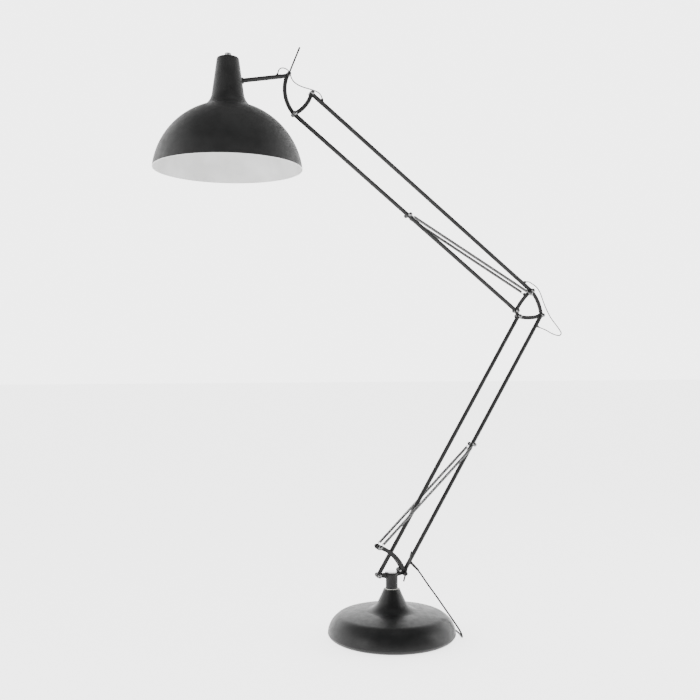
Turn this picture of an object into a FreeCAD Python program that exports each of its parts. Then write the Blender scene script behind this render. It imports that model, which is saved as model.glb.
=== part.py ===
"""Adjustable arm floor lamp: a weighted round base, a swivelling turret, two spring-balanced
parallelogram arms and a spun shade. Millimetres, +Z up, the shade towards -X, and the origin on
the floor at the middle of the base. The arms swing in the plane y = 0."""

import FreeCAD, Part
import math
import os

from FreeCAD import Placement, Rotation, Vector
from Sketcher import Constraint

UP = Vector(0, 0, 1)
ACROSS = Vector(0, 1, 0)
ORIGIN = Vector(0, 0, 0)

doc = FreeCAD.newDocument("arm_floor_lamp")
sheet = doc.addObject("Spreadsheet::Sheet", "Sizes")
finished = []


# ---------------------------------------------------------------- sizes


class Size:
    """A number together with the spreadsheet expression that gives it."""

    def __init__(self, number, text):
        self.number = float(number)
        self.text = text

    def joined(self, other, sign, number):
        return Size(number, f"({self.text} {sign} {text_of(other)})")

    def __add__(self, other):
        return self.joined(other, "+", self.number + float(other))

    def __sub__(self, other):
        return self.joined(other, "-", self.number - float(other))

    def __mul__(self, other):
        return self.joined(other, "*", self.number * float(other))

    def __truediv__(self, other):
        return self.joined(other, "/", self.number / float(other))

    def __float__(self):
        return self.number


def text_of(value):
    return value.text if isinstance(value, Size) else repr(float(value))


def cell(alias, number):
    """Writes one driving dimension into the spreadsheet and returns it as a Size."""
    row = len(sheet.getUsedCells()) // 2 + 1
    sheet.set(f"A{row}", alias)
    sheet.set(f"B{row}", str(number))
    sheet.setAlias(f"B{row}", alias)
    return Size(number, f"Sizes.{alias}")


# Base and swivel
base_radius = cell("base_radius", 190)
base_height = cell("base_height", 81)
cone_height = cell("cone_height", 144)
cone_radius = cell("cone_radius", 24)
sheet_wall = cell("sheet_wall", 1.2)
pad_height = cell("pad_height", 3)
weight_radius = cell("weight_radius", 164)
weight_height = cell("weight_height", 15)
spindle_radius = cell("spindle_radius", 8)
turret_radius = cell("turret_radius", 17.9)
turret_bottom = cell("turret_bottom", 146)
turret_top = cell("turret_top", 193)

side_height = cell("side_height", 15)
edge_inset = cell("edge_inset", 25)
edge_height = cell("edge_height", 62)
shoulder_inset = cell("shoulder_inset", 41)
shoulder_height = cell("shoulder_height", 70)
crown_inset = cell("crown_inset", 114)
flare_inset = cell("flare_inset", 149)
flare_rise = cell("flare_rise", 26)

# Arms and pivots
rod_radius = cell("rod_radius", 6.25)
rod_wall = cell("rod_wall", 1.25)
lower_length = cell("lower_length", 898)
upper_length = cell("upper_length", 898)
lower_lean = cell("lower_lean", 59.3)
upper_rise = cell("upper_rise", 38.1)
lower_catch_reach = cell("lower_catch_reach", 437)
upper_catch_reach = cell("upper_catch_reach", 453)
arm_spacing = cell("arm_spacing", 79.5)
bar_radius = cell("bar_radius", 6)
yoke_root = cell("yoke_root", 9.5)
yoke_tip = cell("yoke_tip", 5.8)
eye_radius = cell("eye_radius", 7)
eye_half = cell("eye_half", 4)
ear_gap = cell("ear_gap", 0.3)
ear_wall = cell("ear_wall", 2.5)
fork_slot = cell("fork_slot", 24)
arm_fork_slot = cell("arm_fork_slot", 18)
fork_block = cell("fork_block", 5)
fork_spigot = cell("fork_spigot", 12)
pivot_radius = cell("pivot_radius", 3)
running_gap = cell("running_gap", 0.05)
collar_radius = cell("collar_radius", 4.5)
dome_radius = cell("dome_radius", 6)
dome_start = cell("dome_start", 14)
dome_height = cell("dome_height", 4.5)
socket_radius = cell("socket_radius", 2.9)
socket_depth = cell("socket_depth", 2.8)

# Springs and their lever
plate_inner = cell("plate_inner", 8)
plate_wall = cell("plate_wall", 3)
plate_width = cell("plate_width", 12)
spring_offset = cell("spring_offset", 17.5)
spring_radius = cell("spring_radius", 4.6)
spring_wire = cell("spring_wire", 1.1)
spring_end = cell("spring_end", 14)
spring_pin_half = cell("spring_pin_half", 20.5)

# Shade and head
shade_radius = cell("shade_radius", 210)
shade_rim = cell("shade_rim", 1360)
shade_axis = cell("shade_axis", 489)
dome_drop = cell("dome_drop", 27)
neck_join_radius = cell("neck_join_radius", 70)
neck_foot_radius = cell("neck_foot_radius", 45)
neck_foot_height = cell("neck_foot_height", 211)
neck_top_radius = cell("neck_top_radius", 31.5)
neck_top_height = cell("neck_top_height", 308.5)
neck_middle = cell("neck_middle", 150)
liner_wall = cell("liner_wall", 0.5)
shade_arm_length = cell("shade_arm_length", 135)
shade_arm_drop = cell("shade_arm_drop", 11.1)
nipple_radius = cell("nipple_radius", 5)
bulb_radius = cell("bulb_radius", 30)
knob_radius = cell("knob_radius", 9.6)
lever_radius = cell("lever_radius", 2.5)
base_bolt_tip = cell("base_bolt_tip", 15)
head_bolt_tip = cell("head_bolt_tip", 18)

base_lever_above = cell("base_lever_above", 68)
base_lever_below = cell("base_lever_below", 24)
base_lever_start = cell("base_lever_start", 12)
base_lever_end = cell("base_lever_end", 24)
head_lever_above = cell("head_lever_above", 84)
head_lever_below = cell("head_lever_below", 9)
head_lever_start = cell("head_lever_start", 10)
head_lever_end = cell("head_lever_end", 28)
stick_depth = cell("stick_depth", 5.2)

# Cables
cable_radius = cell("cable_radius", 1.6)
cord_radius = cell("cord_radius", 2.6)
coil_radius = cell("coil_radius", 29)
coil_turns_wide = cell("coil_turns_wide", 4)
elbow_gland_reach = cell("elbow_gland_reach", 36)
mains_gland_reach = cell("mains_gland_reach", 36)
upper_gland_reach = cell("upper_gland_reach", 36)
head_gland_reach = cell("head_gland_reach", 38)
clip_reach = cell("clip_reach", 29)

# Plug
plug_width = cell("plug_width", 26)
plug_height = cell("plug_height", 13)
plug_neck_length = cell("plug_neck_length", 20)
plug_start = cell("plug_start", 14)
plug_pin_radius = cell("plug_pin_radius", 2)
plug_pin_length = cell("plug_pin_length", 19)
plug_pin_offset = cell("plug_pin_offset", 9.3)


# ---------------------------------------------------------------- places


def direction(degrees):
    """A unit vector in the arms' plane, at an angle from +X towards +Z."""
    return Vector(math.cos(math.radians(degrees)), 0, math.sin(math.radians(degrees)))


lower_way = direction(lower_lean.number)
upper_way = direction(180 - upper_rise.number)
base_right = Vector(37, 0, 190)
base_left = base_right - Vector(arm_spacing.number, 0, 4)
elbow_right = base_right + lower_way * lower_length.number
elbow_left = base_left + lower_way * lower_length.number
elbow_top = elbow_right + Vector(-35, 0, 76)
elbow_upper = elbow_top - Vector(52, 0, 63)
head_top = elbow_top + upper_way * upper_length.number
head_low = elbow_upper + upper_way * upper_length.number
head_joint = head_top + Vector(-72, 0, 45)
shade_arm_way = direction(180 + shade_arm_drop.number)
shade_centre = Vector(-shade_axis.number, 0, shade_rim.number)

lower_anchor = Vector(-42, 0, 270)
lower_catch = base_right + lower_way * lower_catch_reach.number
upper_anchor = elbow_top + Vector(-11.5, 0, -11)
upper_catch = elbow_upper + upper_way * upper_catch_reach.number
lever_boss = Vector(23, 0, 198)

lower_side = Vector(lower_way.z, 0, -lower_way.x)
upper_side = Vector(upper_way.z, 0, -upper_way.x)


def frame_at(place, way):
    """A placement whose local Z runs along way and whose local Y is the world's Y."""
    z = Vector(way).normalize()
    x = ACROSS.cross(z)
    return Placement(place, Rotation(x, ACROSS, z, "ZYX"))


# ---------------------------------------------------------------- building blocks


def bind(thing, **sizes):
    """Sets properties of an object, and ties those that are a Size to the spreadsheet."""
    for name, value in sizes.items():
        setattr(thing, name, float(value))
        if isinstance(value, Size):
            thing.setExpression(name, value.text)


def finish(thing, label):
    """Gives an object the name of its node and puts it on the list to write."""
    thing.Label = label
    finished.append(thing)
    return thing


def primitive(kind, name, place, **sizes):
    thing = doc.addObject("Part::" + kind, name)
    bind(thing, **sizes)
    thing.Placement = place
    return thing


def rod(name, radius, length, start, way):
    return primitive("Cylinder", name, frame_at(start, way), Radius=radius, Height=length)


def pin_hole(name, radius, half, place):
    """A cylinder across the arms' plane, as long each side of it."""
    start = place - ACROSS * float(half)
    turned_way = Placement(start, Rotation(UP, ACROSS))
    return primitive("Cylinder", name, turned_way, Radius=radius, Height=half * 2)


def box(name, frame, corner, length, width, height):
    place = frame.multiply(Placement(corner, Rotation()))
    return primitive("Box", name, place, Length=length, Width=width, Height=height)


def fused(name, things):
    whole = doc.addObject("Part::MultiFuse", name)
    whole.Shapes = things
    whole.Refine = True
    return whole


def cut(name, base, tool):
    whole = doc.addObject("Part::Cut", name)
    whole.Base = base
    whole.Tool = tool
    whole.Refine = True
    return whole


def common(name, base, tool):
    whole = doc.addObject("Part::Common", name)
    whole.Base = base
    whole.Tool = tool
    return whole


def group(name, things):
    """Several separate solids that share one node."""
    whole = doc.addObject("Part::Compound", name)
    whole.Links = things
    return finish(whole, name)


def turn_bulge(degrees):
    """The bulge of an arc that turns by this angle, positive when it runs anticlockwise."""
    return math.tan(math.radians(degrees) / 4)


def arc_of(start, end, bulge):
    """The arc between two sketch points, and whether it runs from end to start."""
    chord = end - start
    sweep = 4 * math.atan(abs(bulge))
    radius = chord.Length / 2 / math.sin(sweep / 2)
    side = Vector(-chord.y, chord.x, 0).normalize()
    reach = radius * math.cos(sweep / 2)
    centre = start + chord * 0.5 + side * (reach if bulge > 0 else -reach)
    first, last = (start, end) if bulge > 0 else (end, start)
    angle = math.atan2(first.y - centre.y, first.x - centre.x)
    circle = Part.Circle(centre, UP, radius)
    return Part.ArcOfCircle(circle, angle, angle + sweep), radius


def draw(sketch, corners):
    """Draws a closed outline. A corner is (across, up) or (across, up, bulge of the edge after it),
    and every corner is tied to the spreadsheet."""
    points = [Vector(float(c[0]), float(c[1]), 0) for c in corners]
    ends = []
    for i, corner in enumerate(corners):
        start = points[i]
        end = points[(i + 1) % len(points)]
        bulge = corner[2] if len(corner) > 2 else 0
        if bulge:
            curve, radius = arc_of(start, end, bulge)
            edge = sketch.addGeometry(curve, False)
            sketch.addConstraint(Constraint("Radius", edge, radius))
            ends.append((edge, 1, 2) if bulge > 0 else (edge, 2, 1))
        else:
            edge = sketch.addGeometry(Part.LineSegment(start, end), False)
            ends.append((edge, 1, 2))
    for i, (edge, first, _) in enumerate(ends):
        before, _, last = ends[i - 1]
        sketch.addConstraint(Constraint("Coincident", before, last, edge, first))
        for kind, value in zip(("DistanceX", "DistanceY"), corners[i]):
            number = sketch.addConstraint(Constraint(kind, -1, 1, edge, first, float(value)))
            if isinstance(value, Size):
                sketch.setExpression(f"Constraints[{number}]", value.text)


def sketch_in(body, corners):
    sketch = body.newObject("Sketcher::SketchObject", body.Name + "_outline")
    plane = next(f for f in body.Origin.OriginFeatures if f.Role == "XZ_Plane")
    sketch.AttachmentSupport = (plane, [""])
    sketch.MapMode = "FlatFace"
    draw(sketch, corners)
    return sketch


def turned(name, corners, place=ORIGIN, way=UP):
    """A body turned on a lathe: its outline is (radius, height) about an axis through place."""
    body = doc.addObject("PartDesign::Body", name)
    sketch = sketch_in(body, corners)
    turn = body.newObject("PartDesign::Revolution", name + "_turn")
    turn.Profile = sketch
    turn.ReferenceAxis = (sketch, ["V_Axis"])
    turn.Angle = 360
    body.Placement = frame_at(place, way) if abs(way.y) < 0.5 else Placement(place, Rotation(UP, way))
    return body


def ring(inner, outer, low, high):
    """The outline of a plain ring or tube."""
    return [(inner, low), (outer, low), (outer, high), (inner, high)]


def arc_frame(start, end, sagitta):
    """Centre placement, radius and angle of an arc in the arms' plane that bulges to its left."""
    chord = end - start
    left = ACROSS.cross(chord).normalize() * -1
    radius = (chord.Length**2 / 4 + sagitta**2) / (2 * abs(sagitta))
    centre = start + chord * 0.5 + left * (sagitta - math.copysign(radius, sagitta))
    first = (start - centre).normalize()
    last = (end - centre).normalize()
    axis = first.cross(last).normalize()
    angle = math.degrees(first.getAngle(last))
    return Placement(centre, Rotation(first, axis.cross(first), axis, "ZXY")), radius, angle


def curved_bar(name, start, end, sagitta):
    """A round bar bent into an arc between two points."""
    place, radius, angle = arc_frame(start, end, sagitta)
    bar = primitive("Torus", name, place, Radius1=radius, Radius2=bar_radius, Angle3=angle)
    return bar


def flat_bar(name, start, end, sagitta, shift):
    """A flat bar bent edgeways into an arc, lying in a plane beside the arms' plane."""
    offset = ACROSS * shift
    place, radius, angle = arc_frame(start + offset, end + offset, sagitta)
    axis = place.Rotation.multVec(UP)
    place.Base = place.Base - axis * (float(plate_wall) / 2)
    half = plate_width / 2
    outer = primitive("Cylinder", name + "_out", place, Radius=half + radius, Height=plate_wall, Angle=angle)
    inner = primitive("Cylinder", name + "_in", place, Radius=half * -1 + radius, Height=plate_wall)
    return cut(name + "_arc", outer, inner)


# ---------------------------------------------------------------- pivots, rods and forks


def dome(radius, low, height):
    """The last corners of a domed end that starts at low and closes on the axis."""
    rise = float(height) * 0.65
    sweep = 4 * math.degrees(math.atan(rise / float(radius)))
    return [(radius, low), (radius, low + height * 0.35, turn_bulge(sweep / 2)), (0, low + height)]


def pivot_bolt(name, place):
    """A bolt across the arms' plane: a collar and a domed head with a hexagon socket on the near
    side, and a plain shank that ends inside the nut on the far side."""
    shoulder = eye_half + ear_gap * 2 + ear_wall
    collar_start = dome_start + shoulder
    length = dome_start * 2
    corners = [(0, 0), (pivot_radius, 0), (pivot_radius, collar_start), (collar_radius, collar_start)]
    corners += [(collar_radius, length)] + dome(dome_radius, length, dome_height)
    bolt = turned(name, corners, place + ACROSS * dome_start.number, ACROSS * -1)
    floor = place - ACROSS * (dome_start + dome_height - socket_depth).number
    seat = Placement(floor, Rotation(UP, ACROSS * -1))
    key = primitive("Prism", name + "_key", seat, Circumradius=socket_radius, Height=socket_depth * 2)
    return cut(name + "_socketed", bolt, key)


def cap_nut(name, place):
    """The domed nut on a pivot bolt's far end, with a blind hole for the shank."""
    shoulder = eye_half + ear_gap * 2 + ear_wall
    corners = [(pivot_radius, shoulder), (collar_radius, shoulder), (collar_radius, dome_start)]
    corners += dome(dome_radius, dome_start, dome_height) + [(0, dome_start), (pivot_radius, dome_start)]
    return turned(name, corners, place, ACROSS)


def fork(name, place, way, slot_length=fork_slot):
    """The forked end of a rod: a round barrel slotted into two ears for the pivot, and a spigot
    inside the tube."""
    frame = frame_at(place, way)
    outside = eye_half + ear_gap + ear_wall
    inside = eye_half + ear_gap
    round_end = pin_hole(name + "_round", eye_radius, outside, place)
    barrel_start = place + way * 4
    barrel_length = slot_length + fork_block - 4
    barrel = rod(name + "_barrel", rod_radius + ear_gap, barrel_length, barrel_start, way)
    spigot_start = place + way * float(slot_length + fork_block)
    spigot = rod(name + "_spigot", rod_radius - rod_wall, fork_spigot, spigot_start, way)
    whole = fused(name + "_solid", [round_end, barrel, spigot])
    slot_corner = Vector(-10, -float(inside), -10)
    slot = box(name + "_slot", frame, slot_corner, 20, inside * 2, slot_length + 10)
    hole = pin_hole(name + "_hole", pivot_radius + running_gap, outside + 1, place)
    return cut(name + "_end", cut(name + "_forked", whole, slot), hole)


def rod_tube(label, start, end, cross_pin=None):
    """The tube of an arm's rod, between its two forks, with a cross hole for a spring pin."""
    way = (end - start).normalize()
    reach = float(fork_slot + fork_block)
    length = (end - start).Length - 2 * reach
    outline = ring(rod_radius - rod_wall, rod_radius, 0, length)
    tube = turned(label + "_body", outline, start + way * reach, way)
    if cross_pin:
        tube = cut(label + "_drilled", tube, pin_hole(label + "_hole", pivot_radius, 10, cross_pin))
    return finish(tube, label)


def arm_rod(label, start, end, cross_pin=None):
    way = (end - start).normalize()
    rod_tube(label + "_tube", start, end, cross_pin)
    forks = [fork(label + "_fork_a", start, way), fork(label + "_fork_b", end, way * -1)]
    group(label + "_forks", forks)


def bracket(name, bars, eyes, holes):
    """Bars flattened to the eyes' width, fused with the eyes and drilled."""
    frame = Placement(Vector(-1000, -float(eye_half), 0), Rotation())
    slab = box(name + "_slab", frame, ORIGIN, 2000, eye_half * 2, 2000)
    flattened = common(name + "_flat", fused(name + "_bars", bars), slab)
    bosses = [pin_hole(f"{name}_eye{i}", eye_radius, eye_half, p) for i, p in enumerate(eyes)]
    drills = [pin_hole(f"{name}_drill{i}", pivot_radius, 12, p) for i, p in enumerate(holes)]
    whole = fused(name + "_whole", [flattened] + bosses)
    return cut(name + "_body", whole, fused(name + "_drills", drills))


def spring_pin(label, place):
    """A cross pin with a domed head at each end that the springs hook on."""
    half = spring_pin_half
    top = half * 2 + dome_height
    rise = turn_bulge(2 * math.degrees(math.atan(0.8 * dome_height.number / dome_radius.number)))
    corners = [
        (0, 0, rise),
        (dome_radius, dome_height * 0.8),
        (dome_radius, dome_height),
        (pivot_radius, dome_height),
        (pivot_radius, top),
        (dome_radius, top),
        (dome_radius, top + dome_height * 0.2, rise),
        (0, top + dome_height),
    ]
    start = place + ACROSS * float(half + dome_height)
    return finish(turned(label + "_body", corners, start, ACROSS * -1), label)


def spring(label, start, end, side):
    """A close-wound spring as a plain tube, with a straight tail and a loop at each end."""
    offset = ACROSS * (side * spring_offset.number)
    way = (end - start).normalize()
    reach = (end - start).Length
    first = start + offset
    last = end + offset
    inner = spring_radius - spring_wire * 2
    outline = ring(inner, spring_radius, 0, reach - spring_end.number * 2)
    coil = turned(label + "_coil", outline, first + way * spring_end.number, way)
    loop_radius = pivot_radius + spring_wire + ear_gap
    parts = [coil]
    for i, (place, inward) in enumerate([(first, way), (last, way * -1)]):
        flat = Placement(place, Rotation(UP, ACROSS))
        loop = primitive("Torus", f"{label}_loop{i}", flat, Radius1=loop_radius, Radius2=spring_wire)
        parts.append(loop)
        tail_start = place + inward * loop_radius.number
        tail_length = spring_end - loop_radius
        parts.append(rod(f"{label}_tail{i}", spring_wire, tail_length, tail_start, inward))
        plug_start = place + inward * spring_end.number
        parts.append(rod(f"{label}_plug{i}", spring_radius, spring_wire * 2, plug_start, inward))
    return finish(fused(label + "_solid", parts), label)


# ---------------------------------------------------------------- base and turret


def base_outline(depth):
    """The base cover's surface, from its foot to the top of the cone, shifted inwards by depth."""
    shift = depth * -1 if isinstance(depth, Size) else -depth
    side = base_radius + shift
    top = base_height + shift
    return [
        (side, side_height, turn_bulge(51)),
        (side - edge_inset, edge_height + shift, turn_bulge(30)),
        (side - shoulder_inset, shoulder_height + shift, turn_bulge(8)),
        (side - crown_inset, top, turn_bulge(-56)),
        (side - flare_inset, top + flare_rise, turn_bulge(-4)),
        (cone_radius + shift, cone_height),
    ]


def make_base():
    outside = base_outline(Size(0, "0"))
    inside = base_outline(sheet_wall)
    foot = base_radius - 14
    corners = [(foot, 2, turn_bulge(56))] + outside
    corners += [(spindle_radius, cone_height), (spindle_radius, cone_height - sheet_wall)]
    inside[-1] = (cone_radius - sheet_wall * 1.5, cone_height - sheet_wall)
    backwards = inside[::-1]
    turns = [c[2] if len(c) > 2 else 0 for c in inside]
    for i, corner in enumerate(backwards):
        after = turns[len(inside) - 2 - i] if i < len(inside) - 1 else turn_bulge(56)
        corners.append((corner[0], corner[1], -after))
    corners.append((foot - sheet_wall, 2))
    finish(turned("base_shell_body", corners), "base_shell")

    boss = spindle_radius * 3
    weight = [
        (spindle_radius, pad_height + 12),
        (boss, pad_height + 12),
        (boss, pad_height),
        (weight_radius, pad_height),
        (weight_radius, pad_height + weight_height - 3, turn_bulge(90)),
        (weight_radius - 3, pad_height + weight_height),
        (boss + 10, pad_height + weight_height, turn_bulge(-90)),
        (boss, pad_height + weight_height + 10),
        (boss, pad_height + weight_height + 34),
        (spindle_radius, pad_height + weight_height + 34),
    ]
    finish(turned("base_weight_body", weight), "base_weight")
    finish(rod("base_pad_body", weight_radius + 6, pad_height, ORIGIN, UP), "base_pad")

    bottom = pad_height + 2
    spindle = [(0, bottom), (spindle_radius, bottom), (spindle_radius, turret_top - 4), (0, turret_top - 4)]
    finish(turned("swivel_spindle_body", spindle), "swivel_spindle")
    hexagon = primitive(
        "Prism", "nut_blank", Placement(Vector(0, 0, 5), Rotation()), Circumradius=14, Height=9.5
    )
    shaft = rod("nut_bore", spindle_radius, 20, Vector(0, 0, 0), UP)
    finish(cut("spindle_nut_body", hexagon, shaft), "spindle_nut")
    washer = ring(spindle_radius + 0.2, turret_radius + 1, cone_height + 0.3, turret_bottom - 0.3)
    finish(turned("swivel_washer_body", washer), "swivel_washer")


def make_turret():
    bore = spindle_radius + running_gap
    lip = turret_radius + 2
    outline = [
        (bore, turret_bottom),
        (turret_radius - 1, turret_bottom),
        (turret_radius, turret_bottom + 1),
        (turret_radius, turret_top - 6),
        (lip, turret_top - 2),
        (lip, turret_top),
        (bore, turret_top),
    ]
    post = turned("turret_post", outline)
    bars = []
    for name, end in (("left", base_left), ("right", base_right)):
        start = Vector(math.copysign(10, end.x), 0, end.z - 2)
        place = frame_at(start, end - start)
        reach = (end - start).Length
        bar = primitive(
            "Cone", f"yoke_{name}", place, Radius1=yoke_root, Radius2=yoke_tip, Height=reach
        )
        bars.append(bar)
    bore_cut = rod("turret_bore", bore, turret_top + 5, ORIGIN, UP)
    pivots = [base_left, base_right]
    yoke = bracket("yoke", bars, pivots, pivots)
    boss = pin_hole("lever_boss", 5, plate_inner, lever_boss)
    screw_hole = pin_hole("boss_hole", 2, 10, lever_boss)
    bossed = cut("boss_drilled", boss, screw_hole)
    whole = cut("turret_bored", fused("turret_fused", [post, yoke, bossed]), bore_cut)
    cap = turret_radius - 1
    seat = rod("cap_seat", cap + 0.2, 10, UP * turret_top.number, UP)
    path = pin_hole("screw_path", 2, 10, lever_boss)
    finish(cut("turret_body", whole, fused("turret_cuts", [seat, path])), "turret")

    disc = [
        (0, turret_top),
        (cap, turret_top),
        (cap, turret_top + 1.5, turn_bulge(80)),
        (cap - 1.5, turret_top + 2.6),
        (0, turret_top + 3),
    ]
    finish(turned("turret_cap_body", disc), "turret_cap")


def lever_plate(name, side):
    shift = side * (plate_inner + plate_wall / 2).number
    arc = flat_bar(name, base_right, lower_anchor, -14, shift)
    offset = ACROSS * (side * plate_inner.number)
    way = ACROSS * side
    ends = []
    for i, (place, radius) in enumerate([(base_right, 8), (lower_anchor, 8), (lever_boss, 6)]):
        flat = Placement(place + offset, Rotation(UP, way))
        ends.append(primitive("Cylinder", f"{name}_end{i}", flat, Radius=radius, Height=plate_wall))
    holes = []
    for i, (place, radius) in enumerate(
        [(base_right, pivot_radius), (lower_anchor, pivot_radius), (lever_boss, Size(2, "2"))]
    ):
        holes.append(pin_hole(f"{name}_hole{i}", radius, 14, place))
    return cut(name, fused(name + "_whole", [arc] + ends), fused(name + "_holes", holes))


def make_spring_lever():
    group("spring_lever_plates", [lever_plate("plate_near", -1), lever_plate("plate_far", 1)])
    screws = []
    for name, side in (("near", -1), ("far", 1)):
        outline = [(0, 0), (2, 0), (2, 9), (4, 9), (4, 10.2, turn_bulge(80)), (2.6, 11.4), (0, 11.6)]
        start = lever_boss + ACROSS * (side * 2)
        screws.append(turned(f"lever_screw_{name}", outline, start, ACROSS * side))
    group("lever_screws", screws)
    spring_pin("lower_anchor_pin", lower_anchor)
    spring("lower_spring_near", lower_anchor, lower_catch, -1)
    spring("lower_spring_far", lower_anchor, lower_catch, 1)
    right = pivot_bolt_plain("turret_bolt_right", base_right, plate_inner + plate_wall, base_bolt_tip)
    left = pivot_bolt("turret_bolt_left", base_left)
    group("turret_bolts", [left, right])
    finish(cap_nut("turret_nut_body", base_left), "turret_nut")


def pivot_bolt_plain(name, place, grip, near):
    """A bolt with its domed head on the far side, and a plain shank with a domed tip on the near
    side, for a clamp lever."""
    head = grip + ear_gap
    outline = [
        (0, 0),
        (pivot_radius - 0.8, 0),
        (pivot_radius, 0.8),
        (pivot_radius, near + head),
        (dome_radius, near + head),
    ]
    outline += dome(dome_radius, near + head, dome_height)[1:]
    return turned(name, outline, place - ACROSS * near.number, ACROSS)


def clamp_lever(label, place, way, above, below, start, end, bolt_tip):
    """A capped hub on a pivot bolt, from start to end beside the arms' plane, with a thin rod
    through its solid end."""
    depth = bolt_tip - start + 0.5
    length = end - start
    outline = [
        (pivot_radius + running_gap, 0),
        (dome_radius, 0),
        (dome_radius, length - 2, turn_bulge(80)),
        (dome_radius - 2, length),
        (0, length),
        (0, depth),
        (pivot_radius + running_gap, depth),
    ]
    hub = turned(label + "_hub", outline, place - ACROSS * start.number, ACROSS * -1)
    centre = place - ACROSS * (end - stick_depth).number
    bevel = 1.2
    whole = above + below
    handle = [
        (0, 0),
        (lever_radius - bevel, 0),
        (lever_radius, bevel),
        (lever_radius, whole - bevel),
        (lever_radius - bevel, whole),
        (0, whole),
    ]
    stick = turned(label + "_stick", handle, centre - way * below.number, way)
    return finish(fused(label + "_whole", [hub, stick]), label)


# ---------------------------------------------------------------- elbow and head


def make_elbow():
    bars = [
        curved_bar("elbow_bar_top", elbow_upper, elbow_top, 4),
        curved_bar("elbow_bar_right", elbow_top, elbow_right, 7),
        curved_bar("elbow_bar_low", elbow_right, elbow_left, 6),
        rod(
            "elbow_bar_left",
            bar_radius,
            (elbow_upper - elbow_left).Length,
            elbow_left,
            (elbow_upper - elbow_left).normalize(),
        ),
    ]
    pivots = [elbow_right, elbow_left, elbow_upper, elbow_top]
    body = bracket("elbow", bars, pivots, pivots + [upper_anchor])
    finish(body, "elbow_bracket")
    group("elbow_bolts", [pivot_bolt(f"elbow_bolt{i}", p) for i, p in enumerate(pivots)])
    group("elbow_nuts", [cap_nut(f"elbow_nut{i}", p) for i, p in enumerate(pivots)])
    spring_pin("upper_anchor_pin", upper_anchor)
    spring("upper_spring_near", upper_anchor, upper_catch, -1)
    spring("upper_spring_far", upper_anchor, upper_catch, 1)


def make_head():
    bars = [
        curved_bar("head_bar_left", head_low, head_joint, 16),
        curved_bar("head_bar_right", head_top, head_low, 8.5),
    ]
    pivots = [head_low, head_top, head_joint]
    finish(bracket("head", bars, pivots, pivots), "head_bracket")
    bolts = [pivot_bolt(f"head_bolt{i}", p) for i, p in enumerate(pivots[:2])]
    grip = eye_half + ear_gap + ear_wall
    bolts.append(pivot_bolt_plain("head_bolt2", head_joint, grip, head_bolt_tip))
    group("head_bolts", bolts)
    group("head_nuts", [cap_nut(f"head_nut{i}", p) for i, p in enumerate(pivots[:2])])


# ---------------------------------------------------------------- shade


def shade_outline(depth):
    """The dome's surface from the rim to the neck's join, shifted inwards by depth. It is part of
    a ball whose middle lies below the rim."""
    drop = float(dome_drop)
    ball = math.hypot(float(shade_radius), drop)
    first = math.atan2(drop, float(shade_radius))
    last = math.acos(float(neck_join_radius) / ball)
    join_height = ball * math.sin(last) - drop
    return [
        (shade_radius - depth, 0, turn_bulge(math.degrees(last - first))),
        (neck_join_radius - depth, join_height - float(depth)),
    ]


def mirrored(corners):
    """The same outline run the other way."""
    turns = [c[2] if len(c) > 2 else 0 for c in corners]
    back = []
    for i in range(len(corners) - 1, -1, -1):
        back.append((corners[i][0], corners[i][1], -turns[i - 1] if i else 0))
    return back


def skin(outside, inside):
    """A closed outline between two surfaces."""
    return outside + mirrored(inside)


def neck_outline(depth):
    """The neck's surface from the join to the edge of its top, shifted inwards by depth."""
    join_height = shade_outline(depth)[-1][1]
    return [
        (neck_join_radius - depth, join_height, turn_bulge(-51.6)),
        (neck_foot_radius - depth, neck_foot_height - depth),
        (neck_top_radius - depth, neck_top_height - depth, turn_bulge(66)),
        (neck_top_radius - 4 - depth, neck_top_height + 4 - depth, turn_bulge(8)),
        (nipple_radius, neck_top_height + 6.5 - depth),
    ]


def make_shade():
    wall = sheet_wall
    axis = shade_centre
    dome_skin = skin(shade_outline(Size(0, "0")), shade_outline(wall))
    finish(turned("shade_dome_body", dome_skin, axis), "shade_dome")

    liner = skin(shade_outline(wall), shade_outline(wall + liner_wall))
    rim = [(shade_radius, -1.2), (shade_radius, 0)]
    inner_rim = shade_radius - wall - liner_wall
    liner = rim + liner + [(inner_rim, -1.2)]
    finish(turned("shade_liner_body", liner, axis), "shade_liner")

    outside = neck_outline(Size(0, "0"))
    neck_skin = skin(outside, neck_outline(wall))
    neck = turned("neck_spun", neck_skin, axis)
    low = [(0, neck_middle), (neck_join_radius, neck_middle)]
    solid = low + outside[:-1] + [(0, neck_top_height + 4)]
    plug = turned("neck_filled", solid, axis)

    arm_end = head_joint + shade_arm_way * shade_arm_length.number
    hole = rod("neck_drill", nipple_radius + 0.4, 40, arm_end - shade_arm_way * 10, shade_arm_way)
    finish(cut("shade_neck_body", neck, hole), "shade_neck")

    boss_start = arm_end - shade_arm_way * 5
    outer = rod("boss_outer", 9, 14, boss_start, shade_arm_way)
    bore = rod("boss_bore", nipple_radius, 60, boss_start - shade_arm_way * 20, shade_arm_way)
    finish(cut("neck_boss_body", cut("boss_fitted", outer, plug), bore), "neck_boss")


def bulb_outline(depth, widest, neck_low, cap_top):
    """The bulb's surface from its lowest point to its cap, shifted inwards by depth."""
    round_radius = bulb_radius - depth
    return [
        (0, widest - round_radius, turn_bulge(90)),
        (round_radius, widest, turn_bulge(42)),
        (22 - depth, widest + 23 - depth / 2, turn_bulge(-26)),
        (13.2 - depth, neck_low - 1),
        (13.2 - depth, cap_top - 4 - depth / 2),
        (6 - depth, cap_top),
    ]


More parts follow.
